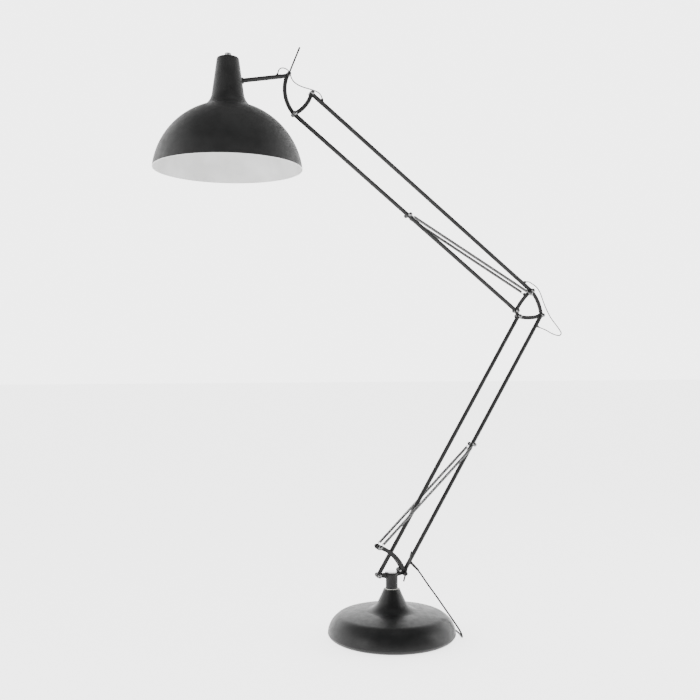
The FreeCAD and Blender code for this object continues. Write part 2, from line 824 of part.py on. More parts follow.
def make_lamp():
    """The switch under the neck's top, the stem, the lamp holder and the bulb."""
    axis = shade_centre
    underside = neck_top_height + 2
    bottom = neck_top_height - 26
    body = [
        (pivot_radius + running_gap, bottom + 4),
        (pivot_radius + running_gap, neck_top_height + 7),
        (nipple_radius, neck_top_height + 7),
        (nipple_radius, underside),
        (14, underside),
        (14, bottom),
        (0, bottom),
        (0, bottom + 4),
    ]
    finish(turned("switch_body_turned", body[::-1], axis), "switch_body")
    holder_top = neck_top_height - 78
    stem = [(0, holder_top), (nipple_radius, holder_top), (nipple_radius, bottom), (0, bottom)]
    finish(turned("holder_stem_body", stem, axis), "holder_stem")
    holder_low = holder_top - 55
    holder = [
        (13.5, holder_low),
        (20, holder_low),
        (20, holder_low + 34, turn_bulge(30)),
        (17, holder_top - 8, turn_bulge(60)),
        (10, holder_top),
        (0, holder_top),
        (0, holder_top - 12),
        (13.5, holder_top - 12),
    ]
    finish(turned("lamp_holder_body", holder, axis), "lamp_holder")
    cap_top = holder_top - 14
    widest = holder_low - 42
    skins = [bulb_outline(depth, widest, holder_low, cap_top) for depth in (0, 1.5)]
    finish(turned("bulb_body", skin(*skins), axis), "bulb")
    knob_low = neck_top_height + 8
    knob = [
        (0, bottom + 6),
        (pivot_radius, bottom + 6),
        (pivot_radius, knob_low),
        (knob_radius - 0.4, knob_low),
        (knob_radius, knob_low + 1),
        (knob_radius, knob_low + 7.5),
        (knob_radius - 1, knob_low + 8.5),
        (0, knob_low + 8.5),
    ]
    finish(turned("switch_knob_body", knob, axis), "switch_knob")


def make_shade_arm():
    way = shade_arm_way
    reach = float(arm_fork_slot + fork_block)
    finish(fork("arm_fork", head_joint, way, arm_fork_slot), "shade_arm_fork")
    tube_end = shade_arm_length.number - 6
    tube_start = head_joint + way * reach
    outline = ring(rod_radius - rod_wall, rod_radius, 0, tube_end - reach)
    finish(turned("shade_arm_tube_body", outline, tube_start, way), "shade_arm_tube")
    seat = shade_arm_length.number - 18
    nipple = [
        (3, 0),
        (nipple_radius - running_gap, 0),
        (nipple_radius - running_gap, 32),
        (3, 32),
    ]
    finish(turned("arm_nipple_body", nipple, head_joint + way * seat, way), "arm_nipple")
    nut_start = head_joint + way * (shade_arm_length.number + 5)
    blank = primitive("Prism", "nipple_blank", frame_at(nut_start, way), Circumradius=9, Height=5)
    bore = rod("nipple_bore", nipple_radius - running_gap, 20, nut_start - way * 5, way)
    finish(cut("nipple_nut_body", blank, bore), "nipple_nut")


# ---------------------------------------------------------------- cables


class Gland:
    """Where a cable leaves a tube: the point on the tube's axis, the tube's own direction, the
    side that it leaves from, the way that it points and the cable's radius."""

    def __init__(self, on_axis, tube_way, side, out, radius, length):
        self.on_axis = on_axis
        self.tube_way = tube_way
        self.start = on_axis + side * (rod_radius.number - 1.5)
        self.out = Vector(out).normalize()
        self.radius = radius
        self.length = length
        self.end = self.start + self.out * length
        self.mouth = self.end + self.out * 0.8

    def solid(self, name):
        """A rubber sleeve, cut off where it meets the tube."""
        flare = self.length - 1.5
        outline = [
            (0, 0),
            (self.radius + 2, 0),
            (self.radius + 2, flare * 0.6),
            (self.radius + 1.2, flare),
            (self.radius + 0.6, self.length),
            (0, self.length),
        ]
        sleeve = turned(name + "_sleeve", outline, self.start, UP)
        sleeve.Placement = Placement(self.start, Rotation(UP, self.out))
        tube = rod(name + "_tube", rod_radius, 40, self.on_axis - self.tube_way * 20, self.tube_way)
        return cut(name, sleeve, tube)


arm_side = Vector(shade_arm_way.z, 0, -shade_arm_way.x)
mains_out = Vector(22.5, -8, -24.5)


def along(place, way, reach):
    return place + way * reach.number


elbow_exit = along(elbow_right, lower_way, elbow_gland_reach * -1)
mains_exit = along(base_right, lower_way, mains_gland_reach)
upper_exit = along(elbow_top, upper_way, upper_gland_reach)
head_exit = along(head_top, upper_way, head_gland_reach * -1)
clip_exit = along(head_joint, shade_arm_way, clip_reach)

elbow_gland = Gland(elbow_exit, lower_way, lower_side, direction(-32), cable_radius, 8)
mains_gland = Gland(mains_exit, lower_way, lower_side, mains_out, cord_radius, 9)
upper_gland = Gland(upper_exit, upper_way, upper_side, direction(7), cable_radius, 9)
head_gland = Gland(head_exit, upper_way, upper_side, direction(97), cable_radius, 9)
arm_clip = Gland(clip_exit, shade_arm_way, arm_side, direction(72), cable_radius, 6)


def make_glands():
    group("lower_glands", [elbow_gland.solid("gland_elbow"), mains_gland.solid("gland_mains")])
    group("upper_glands", [upper_gland.solid("gland_upper"), head_gland.solid("gland_head")])
    finish(arm_clip.solid("cable_clip_body"), "cable_clip")


def cord_path(points):
    """Straight runs joined by tangent arcs, each as large as its two runs allow. Returns the wire
    and the radii of its arcs."""
    edges = []
    radii = []
    last = points[0]
    for i in range(1, len(points) - 1):
        before = (points[i] - points[i - 1]).normalize()
        after = (points[i + 1] - points[i]).normalize()
        half_turn = before.getAngle(after) / 2
        shorter = min((points[i] - points[i - 1]).Length, (points[i + 1] - points[i]).Length)
        reach = 0.45 * shorter
        radius = reach / math.tan(half_turn)
        radii.append(radius)
        start = points[i] - before * reach
        end = points[i] + after * reach
        inward = (after - before).normalize()
        middle = points[i] + inward * (radius / math.cos(half_turn) - radius)
        edges.append(Part.LineSegment(last, start).toShape())
        edges.append(Part.Arc(start, middle, end).toShape())
        last = end
    edges.append(Part.LineSegment(last, points[-1]).toShape())
    return Part.Wire(edges), radii


def cord(label, points, radius):
    """A round cord along the path through its points, compared with section times length."""
    wire, radii = cord_path(points)
    start_way = (points[1] - points[0]).normalize()
    circle = Part.Circle(points[0], start_way, radius.number)
    section = Part.Wire([circle.toShape()])
    solid = wire.makePipeShell([section], True, False)
    expected = math.pi * radius.number**2 * wire.Length
    print(
        label,
        "length",
        round(wire.Length, 1),
        "volume ratio",
        round(solid.Volume / expected, 4),
        "radii",
        [round(r, 1) for r in radii],
    )
    thing = doc.addObject("Part::Feature", label + "_body")
    thing.Shape = solid
    return finish(thing, label)


def in_plane(pairs):
    return [Vector(x, 0, z) for x, z in pairs]


def make_cables():
    loop = [upper_gland.mouth]
    loop += in_plane([(453, 1066), (465, 1059.5), (479, 1051), (490, 1037.5), (497.5, 1020)])
    loop += in_plane([(505, 1000), (515.5, 977.5), (530, 953), (546, 935), (559, 919.5)])
    loop += in_plane([(567.5, 907), (563, 899.5), (550, 899.5), (531, 906), (511, 917)])
    loop += [elbow_gland.mouth]
    cord("elbow_cable", loop, cable_radius)

    bow = [head_gland.mouth]
    bow += in_plane([(-217.5, 1589.5), (-225.5, 1597.5), (-238, 1602), (-252, 1605), (-268, 1608)])
    bow += in_plane([(-284, 1612.5), (-298, 1620.5), (-306, 1631), (-308.5, 1642), (-313, 1651)])
    bow += in_plane([(-321, 1657), (-331, 1659), (-339, 1656.5), (-343.3, 1650.5)])
    bow += [arm_clip.mouth]
    cord("head_cable", bow, cable_radius)


mains_route = [
    Vector(82, -8, 194),
    Vector(104, -21, 157),
    Vector(127, -43, 120),
    Vector(148, -65, 83),
    Vector(168, -84, 49),
    Vector(182, -95, 24),
    Vector(193, -80, 2.6),
    Vector(203, -38, 2.6),
    Vector(207, 12, 2.6),
    Vector(197, 64, 2.6),
    Vector(173, 113, 2.6),
    Vector(144, 158, 2.6),
    Vector(121, 203, 2.6),
]
coil_centre = Vector(75, 244, 0)


def make_mains():
    thickness = cord_radius * 2
    outer_turn = coil_radius + thickness * (coil_turns_wide / 2 - 0.5)
    entry = coil_centre + Vector(outer_turn.number, 0, cord_radius.number)
    route = mains_route + [entry]
    cord("mains_cord", route, cord_radius)

    wide = thickness * coil_turns_wide / 2
    tall = thickness * 1.9
    bundle = [
        (coil_radius - wide, 0),
        (coil_radius + wide, 0),
        (coil_radius + wide, thickness),
        (coil_radius + wide - cord_radius, tall),
        (coil_radius - wide + cord_radius, tall),
        (coil_radius - wide, thickness),
    ]
    finish(turned("cord_coil_body", bundle, coil_centre), "cord_coil")

    relief_start = mains_gland.end
    relief_end = mains_route[0]
    way = (relief_end - relief_start).normalize()
    reach = (relief_end - relief_start).Length - 2.5
    sleeve = [(0, 0), (cord_radius + 1.2, 0), (cord_radius + 0.5, reach), (0, reach)]
    body = turned("mains_relief_body", sleeve, relief_start, UP)
    body.Placement = Placement(relief_start, Rotation(UP, way))
    finish(body, "mains_relief")


def make_plug():
    """A flat two-pin plug lying on the floor beside the coil, its tail against the coil."""
    tail = coil_centre + Vector(-28.5, 28, 7)
    way = Vector(-0.966, -0.26, 0).normalize()
    side = UP.cross(way)
    frame = Placement(tail, Rotation(way, side, UP, "ZXY"))
    corner = Vector(plug_start.number, -plug_width.number / 2, -plug_height.number / 2)
    block = box("plug_block", frame, corner, plug_width, plug_width, plug_height)
    rounded = doc.addObject("Part::Fillet", "plug_rounded")
    rounded.Base = block
    rounded.Edges = [(i, 3.5, 3.5) for i in (1, 3, 5, 7, 9, 10, 11, 12)]
    neck_place = Placement(tail, Rotation(UP, way))
    neck = primitive(
        "Cone", "plug_neck", neck_place, Radius1=3.4, Radius2=5.5, Height=plug_neck_length
    )
    finish(fused("plug_body_solid", [rounded, neck]), "plug_body")
    shoulder = plug_pin_length - plug_pin_radius
    outline = [
        (0, 0),
        (plug_pin_radius, 0),
        (plug_pin_radius, shoulder, turn_bulge(90)),
        (0, plug_pin_length),
    ]
    pins = []
    for i, offset in enumerate((plug_pin_offset.number * -1, plug_pin_offset.number)):
        start = tail + way * (plug_start + plug_width).number + side * offset
        pin = turned(f"plug_pin{i}", outline, start, UP)
        pin.Placement = Placement(start, Rotation(UP, way))
        pins.append(pin)
    group("plug_pins", pins)


# ---------------------------------------------------------------- assembly


def make_arms():
    arm_rod("lower_right", base_right, elbow_right, lower_catch)
    arm_rod("lower_left", base_left, elbow_left)
    arm_rod("upper_top", elbow_top, head_top)
    arm_rod("upper_low", elbow_upper, head_low, upper_catch)
    spring_pin("lower_catch_pin", lower_catch)
    spring_pin("upper_catch_pin", upper_catch)


def make_levers():
    clamp_lever(
        "base_clamp_lever",
        base_right,
        direction(74),
        base_lever_above,
        base_lever_below,
        base_lever_start,
        base_lever_end,
        base_bolt_tip,
    )
    clamp_lever(
        "head_clamp_lever",
        head_joint,
        direction(68),
        head_lever_above,
        head_lever_below,
        head_lever_start,
        head_lever_end,
        head_bolt_tip,
    )


def check_and_write():
    doc.recompute()
    faulty = [o.Name for o in doc.Objects if {"Invalid", "Error"} & set(o.State)]
    if faulty:
        raise RuntimeError(f"failed objects: {faulty}")
    os.makedirs("parts", exist_ok=True)
    for thing in finished:
        shape = thing.Shape
        if shape.isNull() or not shape.isValid() or not shape.Solids:
            raise RuntimeError(f"bad shape: {thing.Label}")
        shape.exportStep(f"parts/{thing.Label}.step")
        print(f"{thing.Label:24s} solids {len(shape.Solids)} volume {shape.Volume:12.1f}")
    print(len(finished), "nodes")


make_base()
make_turret()
make_spring_lever()
make_arms()
make_elbow()
make_head()
make_shade_arm()
make_shade()
make_lamp()
make_levers()
make_glands()
make_cables()
make_mains()
make_plug()
check_and_write()
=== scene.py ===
"""The adjustable arm floor lamp: materials on the CAD nodes, wound springs with their hooks, the
cables and the mains cord with its coil. Metres, in the CAD's own frame, unless a name or a comment
says millimetres."""

import math

import bpy
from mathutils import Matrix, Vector


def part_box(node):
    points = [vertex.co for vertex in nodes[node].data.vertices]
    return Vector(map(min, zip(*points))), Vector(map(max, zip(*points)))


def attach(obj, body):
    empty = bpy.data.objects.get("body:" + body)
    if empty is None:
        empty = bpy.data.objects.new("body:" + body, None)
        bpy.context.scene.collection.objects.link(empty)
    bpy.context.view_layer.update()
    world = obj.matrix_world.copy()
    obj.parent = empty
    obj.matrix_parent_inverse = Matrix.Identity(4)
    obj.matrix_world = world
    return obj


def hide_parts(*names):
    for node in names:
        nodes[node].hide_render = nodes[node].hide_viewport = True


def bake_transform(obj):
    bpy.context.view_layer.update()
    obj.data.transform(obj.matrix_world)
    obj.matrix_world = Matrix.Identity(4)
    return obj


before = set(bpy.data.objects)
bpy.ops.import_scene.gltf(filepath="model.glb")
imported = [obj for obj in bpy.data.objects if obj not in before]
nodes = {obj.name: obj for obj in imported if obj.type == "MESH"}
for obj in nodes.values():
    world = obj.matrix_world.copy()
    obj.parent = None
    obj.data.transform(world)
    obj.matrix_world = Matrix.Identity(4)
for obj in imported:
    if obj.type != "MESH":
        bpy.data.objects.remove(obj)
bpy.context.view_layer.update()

UP = Vector((0, 0, 1))
ACROSS = Vector((0, 1, 0))


# ---------------------------------------------------------------- materials

# The part of a noise's range that its values mostly fall in, for a number and for a colour.
NOISE_LOW, NOISE_HIGH = 0.3, 0.7
TINT_LOW, TINT_HIGH = 0.35, 0.65
FLUTES = 36


class Look:
    """A material with the nodes that its surface detail hangs on."""

    def __init__(self, name, color, roughness, **sockets):
        self.material = bpy.data.materials.new(name)
        self.material.use_nodes = True
        self.tree = self.material.node_tree
        self.shader = self.tree.nodes["Principled BSDF"]
        self.shader.inputs["Base Color"].default_value = (*color, 1)
        self.shader.inputs["Roughness"].default_value = roughness
        for socket, value in sockets.items():
            self.shader.inputs[socket.replace("_", " ")].default_value = value
        self.place = self.tree.nodes.new("ShaderNodeTexCoord").outputs["Object"]
        self.normal = None

    def node(self, kind, **values):
        """A new node, with each value set on its socket or, where it has none, on the node."""
        made = self.tree.nodes.new(kind)
        for key, value in values.items():
            if key in made.inputs:
                made.inputs[key].default_value = value
            else:
                setattr(made, key, value)
        return made

    def link(self, output, socket):
        self.tree.links.new(output, socket)

    def noise(self, scale, detail):
        made = self.node("ShaderNodeTexNoise", Scale=scale, Detail=detail)
        self.link(self.place, made.inputs["Vector"])
        return made.outputs["Fac"]

    def moved(self, location):
        made = self.node("ShaderNodeMapping", Location=location)
        self.link(self.place, made.inputs["Vector"])
        return made.outputs["Vector"]

    def bump(self, height, strength, distance):
        """Adds relief on top of any that is there already."""
        made = self.node("ShaderNodeBump", Strength=strength, Distance=distance)
        self.link(height, made.inputs["Height"])
        if self.normal:
            self.link(self.normal, made.inputs["Normal"])
        self.normal = made.outputs["Normal"]
        self.link(self.normal, self.shader.inputs["Normal"])

    def roughen(self, value, low, high):
        """Lets the roughness wander between low and high with a noise."""
        made = self.node("ShaderNodeMapRange")
        made.inputs["From Min"].default_value = NOISE_LOW
        made.inputs["From Max"].default_value = NOISE_HIGH
        made.inputs["To Min"].default_value = low
        made.inputs["To Max"].default_value = high
        self.link(value, made.inputs["Value"])
        self.link(made.outputs["Result"], self.shader.inputs["Roughness"])

    def tint(self, value, dark, light):
        """Lets the colour wander between dark and light with a noise."""
        made = self.node("ShaderNodeValToRGB")
        ends = zip(made.color_ramp.elements, (TINT_LOW, TINT_HIGH), (dark, light))
        for element, position, color in ends:
            element.position = position
            element.color = (*color, 1)
        self.link(value, made.inputs["Fac"])
        self.link(made.outputs["Color"], self.shader.inputs["Base Color"])


def grey(value, warmth=0.0):
    return (value, value, value * (1 - warmth))


def powder_coat(name, dark, light, roughness, grain):
    """Matt powder coat: a fine pebbled grain over a slow, faint change of tone."""
    look = Look(name, grey(dark), roughness, Specular_IOR_Level=0.18)
    look.tint(look.noise(scale=26, detail=4), grey(dark), grey(light))
    look.roughen(look.noise(scale=60, detail=3), roughness - 0.05, roughness + 0.06)
    look.bump(look.noise(scale=900, detail=2), strength=grain, distance=0.0004)
    look.bump(look.noise(scale=2600, detail=1), strength=grain * 0.5, distance=0.0002)
    return look.material


def bright_metal(name, color, roughness, grain=0.04):
    """Plain metal with a faint unevenness in its polish."""
    look = Look(name, color, roughness, Metallic=1.0)
    look.roughen(look.noise(scale=400, detail=3), roughness * 0.8, roughness * 1.3)
    look.bump(look.noise(scale=1800, detail=2), strength=grain, distance=0.0001)
    return look.material


def moulded(name, dark, light, roughness, grain):
    """Moulded plastic or rubber."""
    look = Look(name, dark, roughness, Specular_IOR_Level=0.2)
    look.tint(look.noise(scale=90, detail=3), dark, light)
    look.roughen(look.noise(scale=350, detail=2), roughness - 0.06, roughness + 0.06)
    look.bump(look.noise(scale=1500, detail=2), strength=grain, distance=0.0002)
    return look.material


def turned_cap():
    """Satin metal with the fine rings that a lathe leaves."""
    look = Look("satin_cap", grey(0.62), 0.3, Metallic=1.0)
    rings = look.node("ShaderNodeTexWave", wave_type="RINGS", rings_direction="Z", Scale=420)
    look.link(look.place, rings.inputs["Vector"])
    look.bump(rings.outputs["Fac"], strength=0.12, distance=0.0001)
    look.roughen(look.noise(scale=120, detail=3), 0.24, 0.36)
    return look.material


def knurled_knob():
    """Bright plate with upright flutes round the knob."""
    look = Look("knurled_knob", grey(0.3), 0.14, Metallic=1.0)
    low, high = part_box("switch_knob")
    middle = (low + high) / 2
    angle = look.node("ShaderNodeTexGradient", gradient_type="RADIAL")
    look.link(look.moved((-middle.x, -middle.y, 0)), angle.inputs["Vector"])
    turns = look.node("ShaderNodeMath", operation="MULTIPLY")
    turns.inputs[1].default_value = FLUTES * 2 * math.pi
    wave = look.node("ShaderNodeMath", operation="SINE")
    look.link(angle.outputs["Fac"], turns.inputs[0])
    look.link(turns.outputs["Value"], wave.inputs[0])
    look.bump(wave.outputs["Value"], strength=0.5, distance=0.0006)
    look.roughen(look.noise(scale=300, detail=2), 0.1, 0.2)
    return look.material


def enamel():
    """Satin white enamel with a faint orange peel."""
    look = Look("white_enamel", grey(0.46), 0.34)
    look.tint(look.noise(scale=14, detail=3), grey(0.42, 0.01), grey(0.5, 0.005))
    look.roughen(look.noise(scale=40, detail=2), 0.3, 0.4)
    look.bump(look.noise(scale=240, detail=2), strength=0.12, distance=0.0004)
    return look.material


def opal_glass():
    """The bulb's milky glass."""
    look = Look("opal_glass", grey(0.9, 0.03), 0.18, Subsurface_Weight=0.2, Coat_Weight=0.4)
    look.tint(look.noise(scale=30, detail=2), grey(0.88, 0.04), grey(0.93, 0.02))
    look.roughen(look.noise(scale=50, detail=2), 0.14, 0.24)
    return look.material


def cast_iron():
    """The rough casting of the base's weight."""
    look = Look("cast_iron", grey(0.09), 0.7, Metallic=0.6)
    look.tint(look.noise(scale=70, detail=5), grey(0.05), grey(0.14, 0.06))
    look.roughen(look.noise(scale=120, detail=4), 0.6, 0.85)
    look.bump(look.noise(scale=500, detail=5), strength=0.6, distance=0.0008)
    return look.material


base_coat = powder_coat("base_coat", dark=0.006, light=0.009, roughness=0.4, grain=0.3)
frame_coat = powder_coat("frame_coat", dark=0.010, light=0.014, roughness=0.5, grain=0.28)
rod_coat = powder_coat("rod_coat", dark=0.011, light=0.016, roughness=0.5, grain=0.22)
lever_coat = powder_coat("lever_coat", dark=0.006, light=0.01, roughness=0.45, grain=0.15)
shade_coat = powder_coat("shade_coat", dark=0.008, light=0.012, roughness=0.5, grain=0.42)
plated = bright_metal("plated_steel", grey(0.14), roughness=0.2)
spring_steel = bright_metal("spring_steel", grey(0.11), roughness=0.24, grain=0.08)
turned_steel = bright_metal("turned_steel", grey(0.5), roughness=0.36, grain=0.1)
black_rubber = moulded("black_rubber", grey(0.012), grey(0.02), roughness=0.62, grain=0.3)
pad_rubber = moulded("pad_rubber", grey(0.015), grey(0.025), roughness=0.8, grain=0.5)
cord_jacket = moulded("cord_jacket", grey(0.006), grey(0.01), roughness=0.6, grain=0.18)
plug_plastic = moulded("plug_plastic", grey(0.016), grey(0.024), roughness=0.42, grain=0.35)
holder_plastic = moulded(
    "holder_plastic", grey(0.72, 0.06), grey(0.78, 0.05), roughness=0.4, grain=0.15
)
nylon = moulded("nylon", grey(0.62, 0.08), grey(0.7, 0.06), roughness=0.45, grain=0.12)

# Every other node that shows is plated hardware.
LOOKS = {
    "base_shell": base_coat,
    "turret": frame_coat,
    "spring_lever_plates": frame_coat,
    "elbow_bracket": frame_coat,
    "head_bracket": frame_coat,
    "base_clamp_lever": lever_coat,
    "head_clamp_lever": lever_coat,
    "base_weight": cast_iron(),
    "base_pad": pad_rubber,
    "swivel_washer": nylon,
    "turret_cap": turned_cap(),
    "shade_dome": shade_coat,
    "shade_neck": shade_coat,
    "neck_boss": shade_coat,
    "shade_liner": enamel(),
    "switch_knob": knurled_knob(),
    "switch_body": holder_plastic,
    "lamp_holder": holder_plastic,
    "bulb": opal_glass(),
    "lower_glands": black_rubber,
    "upper_glands": black_rubber,
    "cable_clip": black_rubber,
    "plug_body": plug_plastic,
}
for name in ("lower_right", "lower_left", "upper_top", "upper_low"):
    LOOKS[name + "_tube"] = rod_coat
    LOOKS[name + "_forks"] = rod_coat
for name in ("shade_arm_tube", "shade_arm_fork"):
    LOOKS[name] = rod_coat
for name in ("swivel_spindle", "spindle_nut", "arm_nipple", "nipple_nut", "holder_stem"):
    LOOKS[name] = turned_steel

for name, node in nodes.items():
    node.data.materials.clear()
    node.data.materials.append(LOOKS.get(name, plated))


# ---------------------------------------------------------------- tubes along a line


def smooth_line(points, resolution):
    """The points of a NURBS spline that has these as its control points."""
    data = bpy.data.curves.new("line", "CURVE")
    data.dimensions = "3D"
    data.resolution_u = resolution
    spline = data.splines.new("NURBS")
    spline.points.add(len(points) - 1)
    for control, point in zip(spline.points, points):
        control.co = (*point, 1)
    spline.order_u = 3
    spline.use_endpoint_u = True
    holder = bpy.data.objects.new("line", data)
    mesh = bpy.data.meshes.new_from_object(holder)
    line = [v.co.copy() for v in mesh.vertices]
    bpy.data.meshes.remove(mesh)
    bpy.data.objects.remove(holder)
    bpy.data.curves.remove(data)
    return line


def frames_along(line):
    """Two directions square to the line at each of its points, turning as little as they can."""
    way = (line[1] - line[0]).normalized()
    side = way.cross(ACROSS)
    if side.length < 0.1:
        side = way.cross(UP)
    side.normalize()
    frames = []
    for i in range(len(line)):
        ahead = line[min(i + 1, len(line) - 1)] - line[max(i - 1, 0)]
        new_way = ahead.normalized()
        side = way.rotation_difference(new_way) @ side
        side = (side - new_way * side.dot(new_way)).normalized()
        way = new_way
        frames.append((side, way.cross(side)))
    return frames


def tube(name, line, radius, material, sides, first=0, last=None):
    """A round tube with closed ends along part of a line. radius is a number, or a function of
    the share of the way along."""
    frames = frames_along(line)
    last = len(line) if last is None else last
    corners = []
    faces = []
    count = last - first
    for i in range(first, last):
        side, up = frames[i]
        size = radius((i - first) / (count - 1)) if callable(radius) else radius
        for k in range(sides):
            turn = 2 * math.pi * k / sides
            corners.append(line[i] + side * (size * math.cos(turn)) + up * (size * math.sin(turn)))
    for i in range(count - 1):
        for k in range(sides):
            a = i * sides + k
            b = i * sides + (k + 1) % sides
            faces.append((a, b, b + sides, a + sides))
    faces.append(tuple(reversed(range(sides))))
    faces.append(tuple(range((count - 1) * sides, count * sides)))
    mesh = bpy.data.meshes.new(name)
    mesh.from_pydata(corners, [], faces)
    mesh.update()
    for polygon in mesh.polygons:
        polygon.use_smooth = len(polygon.vertices) == 4
    mesh.materials.append(material)
    piece = bpy.data.objects.new(name, mesh)
    bpy.context.scene.collection.objects.link(piece)
    return piece


def in_metres(points):
    return [Vector(p) / 1000 for p in points]


def in_plane(pairs):
    """Points of the lamp's own plane, from x and z in millimetres."""
    return in_metres([(x, 0, z) for x, z in pairs])


# ---------------------------------------------------------------- mains cord

CORD = 0.0026
COIL_CENTRE = Vector((0.075, 0.244, 0))

# From the sleeve down past the base to the floor, then along the floor to the coil, in millimetres.
hanging = in_metres(
    [
        (75, -5.5, 201.6),
        (82, -8, 194),
        (104, -21, 157),
        (127, -43, 120),
        (148, -65, 83),
        (168, -84, 49),
        (182, -95, 24),
        (193, -80, 2.6),
        (203, -38, 2.6),
        (207, 12, 2.6),
        (197, 64, 2.6),
        (173, 113, 2.6),
        (144, 158, 2.6),
        (121, 203, 2.6),
    ]
)

# Each turn's radius and height in millimetres, from the outside in along the floor, then back out
# on top. The innermost floor turn climbs, and the turns above cross each other at CROSSING_HEIGHT.
TURNS = [(36.8, 2.6), (31.6, 2.6), (26.4, 2.6), (21.2, 2.6), (23.8, 7.1), (29, 7.1), (34.2, 7.1)]
CLIMBING_TURN = 3
CROSSING_HEIGHT = 7.8

# A turn has STEPS points. The other counts are in those steps.
STEPS = 24
LAST_TURN_STEPS = 7
STEP_OVER_START, STEP_OVER_LENGTH = 18, 6
CLIMB_START, CLIMB_LENGTH = 12, 5


def share_past(step, start, length):
    return min(max((step - start) / length, 0), 1)


def coil_points():
    """The turns of the stored cord. Each keeps its radius for most of the way round, and steps
    over to the next one in its last quarter."""
    points = []
    for turn, (radius, height) in enumerate(TURNS):
        last_turn = turn == len(TURNS) - 1
        after = TURNS[turn] if last_turn else TURNS[turn + 1]
        for step in range(LAST_TURN_STEPS if last_turn else STEPS):
            share = share_past(step, STEP_OVER_START, STEP_OVER_LENGTH)
            r = radius + (after[0] - radius) * share
            z = height
            if turn == CLIMBING_TURN:
                climb = share_past(step, CLIMB_START, CLIMB_LENGTH)
                z = height + (CROSSING_HEIGHT - height) * climb
            elif turn > CLIMBING_TURN and 0 < share < 1:
                z = CROSSING_HEIGHT
            turned = 2 * math.pi * step / STEPS
            offset = Vector((math.cos(turned) * r, math.sin(turned) * r, z)) / 1000
            points.append(COIL_CENTRE + offset)
    return points


# Off the coil to the plug, in millimetres.
tail = in_metres([(56, 274.6, 8), (46.5, 272, 7.2), (38, 269.7, 7)])
mains_line = smooth_line(hanging + coil_points() + tail, resolution=6)
mains = tube("mains_lead", mains_line, CORD, cord_jacket, sides=10)
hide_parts("mains_cord")
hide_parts("cord_coil")
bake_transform(mains)

gland_end = Vector((0.06538, -0.0021, 0.21208))
relief_end = Vector((0.082, -0.008, 0.194))

SLEEVE_RADIUS = 0.0041
SLEEVE_TAPER = 0.0009
RING_DEPTH = 0.00035
RINGS = 7
PLAIN_END = 0.06
SLEEVE_STEPS = 84


def ribbed(t):
    """A tapering sleeve with shallow rings round it, plain at its two ends."""
    ring = RING_DEPTH * (1 if math.sin(t * 2 * math.pi * RINGS) > 0 else -1)
    in_rings = PLAIN_END < t < 1 - PLAIN_END
    return SLEEVE_RADIUS - SLEEVE_TAPER * t + (ring if in_rings else 0)


relief_line = [gland_end.lerp(relief_end, i / SLEEVE_STEPS) for i in range(SLEEVE_STEPS + 1)]
relief = tube("bend_sleeve", relief_line, ribbed, black_rubber, sides=20)
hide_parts("mains_relief")
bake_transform(relief)


# ---------------------------------------------------------------- cables at the elbow and head

CABLE = 0.0016

# Both cables lie in the lamp's own plane: x and z in millimetres.
elbow_route = in_plane(
    [(440, 1064.7), (444.8, 1065.3), (453, 1066), (465, 1059.5), (479, 1051), (490, 1037.5)]
    + [(497.5, 1020), (505, 1000), (515.5, 977.5), (530, 953), (546, 935), (559, 919.5)]
    + [(567.5, 907), (563, 899.5), (550, 899.5), (531, 906), (511, 917), (488.6, 924.1)]
    + [(484.6, 926.6)]
)
head_route = in_plane(
    [(-214.1, 1578), (-214.6, 1582.3), (-217.5, 1589.5), (-225.5, 1597.5), (-238, 1602)]
    + [(-252, 1605), (-268, 1608), (-284, 1612.5), (-298, 1620.5), (-306, 1631)]
    + [(-308.5, 1642), (-313, 1651), (-321, 1657), (-331, 1659), (-339, 1656.5)]
    + [(-343.3, 1650.5), (-345.5, 1642.8), (-346.7, 1639)]
)


def cable_in_two(name, route, node, middle):
    """One cable that crosses two joints, as two pieces. They meet at the point of the route that
    is nearest to middle."""
    line = smooth_line(route, resolution=8)
    meet = min(range(len(line)), key=lambda i: (line[i] - Vector(middle)).length)
    near = tube(name + "_near", line, CABLE, cord_jacket, sides=8, last=meet + 1)
    far = tube(name + "_far", line, CABLE, cord_jacket, sides=8, first=meet)
    for piece in (near, far):
        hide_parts(node)
    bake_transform(near)
    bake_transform(far)


cable_in_two(
    "elbow_loop",
    elbow_route,
    "elbow_cable",
    middle=(0.513, 0, 0.983),
)
cable_in_two(
    "head_bow",
    head_route,
    "head_cable",
    middle=(-0.3085, 0, 1.642),
)


# ---------------------------------------------------------------- springs

WIRE = 0.0011
SPRING_RADIUS = 0.0035
PITCH = 0.00235
TURN_STEPS = 10
END = 0.014

# The wire from the coil in to its axis: each point's distance from the pin, and how far out it is
# as a share of the coil's radius. Then the hook round the pin, in degrees.
LEAD_IN = [(END + 0.0004, 1), (END - 0.0015, 1), (END - 0.0035, 0.4), (END - 0.006, 0)]
HOOK_RADIUS = 0.0044
HOOK_START, HOOK_END, HOOK_STEP = 35, 331, 20

# Each arm's two bodies, and the share of its springs, from the fixed pin on, that takes the bend.
ARMS = [("lower", "turret", "lower_right_rod", 0.25), ("upper", "elbow", "upper_low_rod", 0.15)]
SIDES = [("near", -0.0175), ("far", 0.0175)]


def centre(node):
    low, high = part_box(node)
    return (low + high) / 2


def wound(start, way, side, up, length):
    """The middle of the wire of a coil that runs from start along way."""
    turns = length / PITCH
    count = int(turns * TURN_STEPS)
    line = []
    for i in range(count + 1):
        share = i / count
        turn = 2 * math.pi * turns * share
        offset = side * math.cos(turn) + up * math.sin(turn)
        line.append(start + way * (length * share) + offset * SPRING_RADIUS)
    return line


